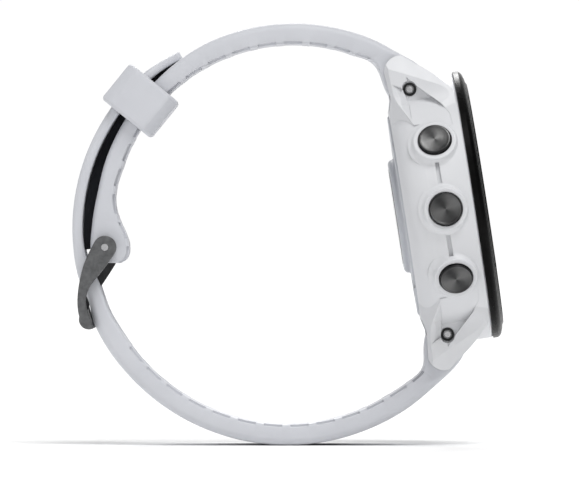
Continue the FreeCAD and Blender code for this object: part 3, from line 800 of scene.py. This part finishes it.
def make_hole_painted_shades(material):
    """Dark sleeves in the mouths of the four spring-bar holes: painted shade for the shadow inside the
    holes.
    """
    profile = [(0.72, 11.98), (HOLE_SHADE_R, 11.98), (HOLE_SHADE_R, 12.62), (HOLE_SHADE_R - 0.08, 12.62),
               (HOLE_SHADE_R - 0.1, 12.12), (0.72, 12.1)]
    for up in (1, -1):
        for side in (1, -1):
            turn = Matrix.Rotation(math.radians(-90 * side), 4, "X")
            place = Matrix.Translation((BAR_N, 0, BAR_U * up)) @ turn
            name = "bar_hole_painted_shade_" + ("upper" if up > 0 else "lower") + ("_far" if side > 0 else "_near")
            # Each sleeve is painted shade, not a real lining; the slot text passed to dress is not used.
            painted_shade = revolve(name, profile, steps=48, matrix=TO_METRES @ CASE_FRAME @ place)
            dress(painted_shade, "case", "gasket", material)


def finish_nodes(finishes):
    """Materials for the CAD nodes that stay in sight."""
    for entry in frame["record"]["subparts"]:
        node = frame["nodes"][entry["node"]]
        node.data.materials.clear()
        node.data.materials.append(finishes[entry["material_slot"]])
        shade(node)


FINISHES = {
    "strap_silicone": silicone(),
    "case_polymer": case_polymer(),
    "rear_polymer": rear_polymer(),
    "bezel_metal": bezel_metal(),
    "button_metal": dark_metal("button_metal_side", (0.12, 0.12, 0.125), 0.34),
    "buckle_metal": dark_metal("buckle_metal", (0.135, 0.137, 0.14), 0.4),
    "tongue_metal": dark_metal("tongue_metal", (0.012, 0.012, 0.013), 0.4, metal=0.0),
    "lens_glass": glass("lens_glass", (0.97, 0.98, 0.99)),
    "sensor_glass": sensor_glass(),
    "display": plain("display", (0.004, 0.005, 0.006), (0.006, 0.007, 0.009), 0.35, depth=0.001,
                     Specular_IOR_Level=0.08),
    "gasket": plain("gasket", (0.02, 0.02, 0.022), (0.03, 0.03, 0.032), 0.7),
    "inner_polymer": plain("inner_polymer", (0.03, 0.03, 0.033), (0.045, 0.045, 0.05), 0.6),
    "board": plain("board", (0.01, 0.06, 0.03), (0.015, 0.085, 0.04), 0.45),
    "chip": plain("chip", (0.02, 0.02, 0.022), (0.035, 0.035, 0.038), 0.5),
    "antenna_metal": plain("antenna_metal", (0.55, 0.5, 0.42), (0.65, 0.6, 0.5), 0.3, metal=1.0),
    "cell_wrap": plain("cell_wrap", (0.5, 0.51, 0.53), (0.6, 0.61, 0.62), 0.35, metal=1.0),
    "steel": plain("steel", (0.42, 0.42, 0.43), (0.52, 0.52, 0.53), 0.3, metal=1.0, size=0.5),
    "contact_gold": plain("contact_gold", (0.75, 0.5, 0.18), (0.85, 0.6, 0.25), 0.25, metal=1.0, size=0.4),
}

make_camera()
finish_nodes(FINISHES)
make_straps(FINISHES["strap_silicone"])
# Near-black finish of the gap ribs: painted shade in the gap between the tail and the upper strap.
make_gap_shade_ribs(plain("gap_painted_shade", (0.018, 0.019, 0.024), (0.026, 0.027, 0.034), 0.7, size=3,
                    Specular_IOR_Level=0.2))
make_keeper(FINISHES["strap_silicone"])
make_buttons(button_metal())
make_dial()
# Near-black sleeve finish: painted shade in the spring-bar holes.
make_hole_painted_shades(plain("hole_painted_shade", (0.012, 0.012, 0.013), (0.02, 0.02, 0.022), 0.6, size=0.5))

# ---- stage --------------------------------------------------------------------------------------
FLOOR_Z = -0.03555                 # metres, just under the loop
REACH = 12.0
WHITE_WALL = 1.02                  # world strength behind the watch

floor_mesh = bpy.data.meshes.new("floor")
floor_mesh.from_pydata([(-REACH, -REACH, FLOOR_Z), (REACH, -REACH, FLOOR_Z), (REACH, REACH, FLOOR_Z),
                        (-REACH, REACH, FLOOR_Z)], [], [(0, 1, 2, 3)])
floor = bpy.data.objects.new("floor", floor_mesh)
bpy.context.scene.collection.objects.link(floor)
floor_mesh.materials.append(plain("floor_paint", (0.98, 0.98, 0.98), (0.99, 0.99, 0.99), 0.9, size=40,
                                  depth=0.0, Specular_IOR_Level=0.0))


def make_world():
    """White walls behind and to the left, a grey dome and a dark flag facing the dial."""
    world = bpy.data.worlds.new("world")
    world.use_nodes = True
    nodes, links = world.node_tree.nodes, world.node_tree.links
    place = nodes.new("ShaderNodeTexCoord")
    apart = nodes.new("ShaderNodeSeparateXYZ")
    links.new(place.outputs["Generated"], apart.inputs["Vector"])

    def calculate(operation, a, b=0.0):
        node = nodes.new("ShaderNodeMath")
        node.operation = operation
        for value, socket in ((a, node.inputs[0]), (b, node.inputs[1])):
            if isinstance(value, float):
                socket.default_value = value
            else:
                links.new(value, socket)
        return node.outputs[0]

    def ramp(value, *limits):
        node = nodes.new("ShaderNodeMapRange")
        node.interpolation_type = "SMOOTHSTEP"
        links.new(value, node.inputs["Value"])
        for key, number in zip(("From Min", "From Max", "To Min", "To Max"), limits):
            node.inputs[key].default_value = number
        return node.outputs["Result"]

    dome = ramp(calculate("ABSOLUTE", apart.outputs["Z"]), 0.1, 0.6, 0.62, 0.3)
    flag = ramp(apart.outputs["X"], 0.45, 0.8, 1.0, 0.12)
    away = calculate("MAXIMUM", apart.outputs["Y"], calculate("MULTIPLY", apart.outputs["X"], -1.0))
    wall = nodes.new("ShaderNodeMix")
    wall.inputs["B"].default_value = WHITE_WALL
    links.new(ramp(away, 0.8, 0.97, 0.0, 1.0), wall.inputs["Factor"])
    links.new(calculate("MULTIPLY", dome, flag), wall.inputs["A"])
    links.new(wall.outputs["Result"], nodes["Background"].inputs["Strength"])
    nodes["Background"].inputs["Color"].default_value = (1, 1, 1, 1)
    bpy.context.scene.world = world


def sun_light(name, direction, strength, spread):
    data = bpy.data.lights.new(name, "SUN")
    data.energy = strength
    data.angle = math.radians(spread)
    light = bpy.data.objects.new(name, data)
    light.rotation_euler = Vector(direction).to_track_quat("Z", "Y").to_euler()
    bpy.context.scene.collection.objects.link(light)


make_world()
bpy.context.scene.view_settings.view_transform = "Standard"
sun_light("front", (0.2, -0.42, 0.88), 2.2, 35)
sun_light("back", (0.0, 0.8, 0.55), 1.5, 25)
